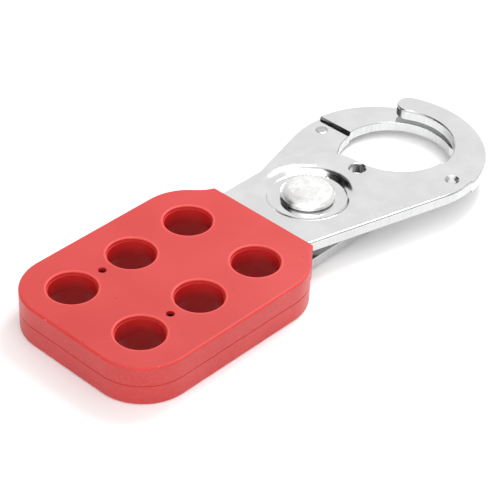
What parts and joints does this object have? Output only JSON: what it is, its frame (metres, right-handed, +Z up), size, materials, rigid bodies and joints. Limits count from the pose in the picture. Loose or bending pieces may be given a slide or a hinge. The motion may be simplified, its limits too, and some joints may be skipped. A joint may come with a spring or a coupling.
{
  "type": "lockout hasp",
  "caption": "Scissor lockout hasp: two riveted steel plates closing into a round jaw, with padlock holes through a moulded handle.",
  "frame": {"origin": "middle of the closed hasp's overall box, at the plane that it lies on", "axes": "+X along the hasp from the handle to the jaw, +Y to the side that the upper jaw's tip hooks over, +Z up as it lies flat"},
  "size_m": [0.1186, 0.0454, 0.0104],
  "materials": {
    "plated_steel": "bright nickel plate, lightly brushed, satin",
    "handle_plastic": "satin moulded, fine even texture",
    "rivet_steel": "polished dome"
  },
  "bodies": {
    "lower_half": {"lower_jaw_plate": "plated_steel", "lower_handle_cover": "handle_plastic", "pivot_rivet": "rivet_steel"},
    "upper_half": {"upper_jaw_plate": "plated_steel", "upper_handle_cover": "handle_plastic"}
  },
  "joints": [
    {"name": "jaw_pivot", "type": "hinge", "parent": "lower_half", "child": "upper_half", "pos_m": [0.01075, 0, 0.00465], "axis": [0, 0, -1], "range_deg": [0, 90]}
  ]
}
